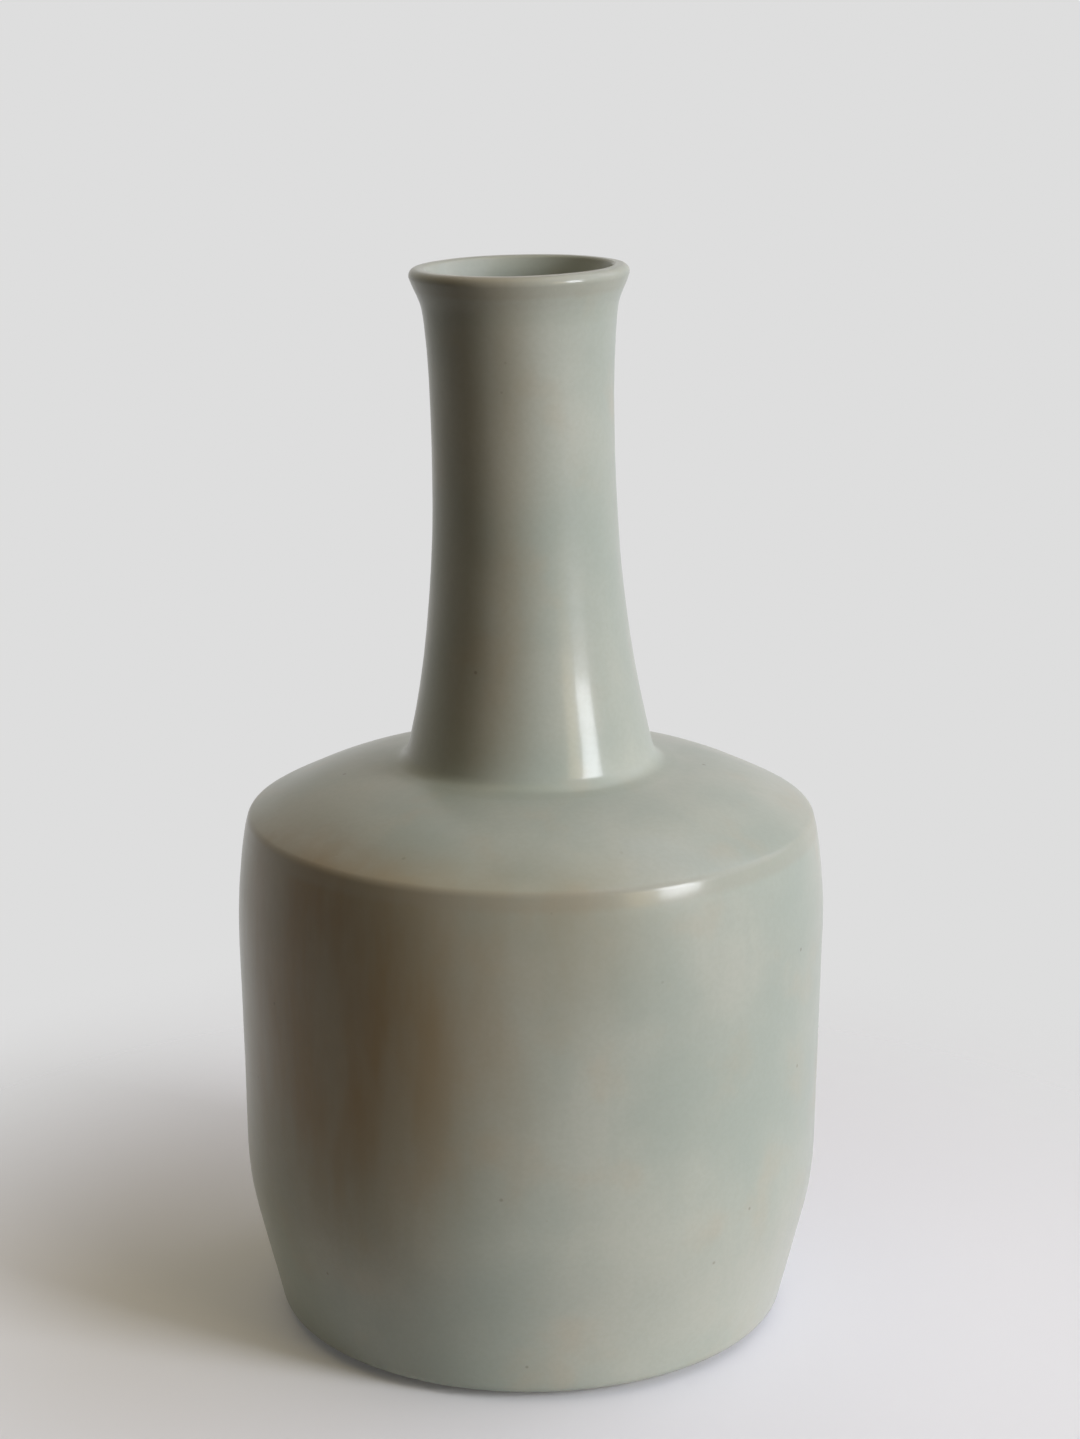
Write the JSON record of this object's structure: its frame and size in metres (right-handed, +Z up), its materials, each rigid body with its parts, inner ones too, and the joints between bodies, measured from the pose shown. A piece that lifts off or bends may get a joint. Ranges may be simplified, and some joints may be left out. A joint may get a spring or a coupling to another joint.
{
  "type": "mallet vase",
  "caption": "Celadon-glazed stoneware mallet vase: straight-sided drum body, soft-cornered sloping shoulder, tall waisted neck with a rolled lip; holds water and flower stems.",
  "frame": {"origin": "middle of the foot ring, on the surface that the vase stands on", "axes": "+Z up along the body's axis; the picture looks along +Y, and the neck leans slightly towards -X"},
  "size_m": [0.1268, 0.1268, 0.23],
  "materials": {
    "celadon_glaze": "satin",
    "bare_stoneware": "matte",
    "clay_body": "matte",
    "slip": "matte"
  },
  "bodies": {
    "root": {"foot_ring": "bare_stoneware", "foot_slip": "slip", "floor_disc": "clay_body", "floor_slip": "slip", "body_wall": "clay_body", "shoulder_slip": "slip", "shoulder": "clay_body", "neck_slip": "slip", "neck": "clay_body", "outer_glaze": "celadon_glaze", "inner_glaze": "celadon_glaze", "base_glaze": "celadon_glaze"}
  },
  "joints": []
}
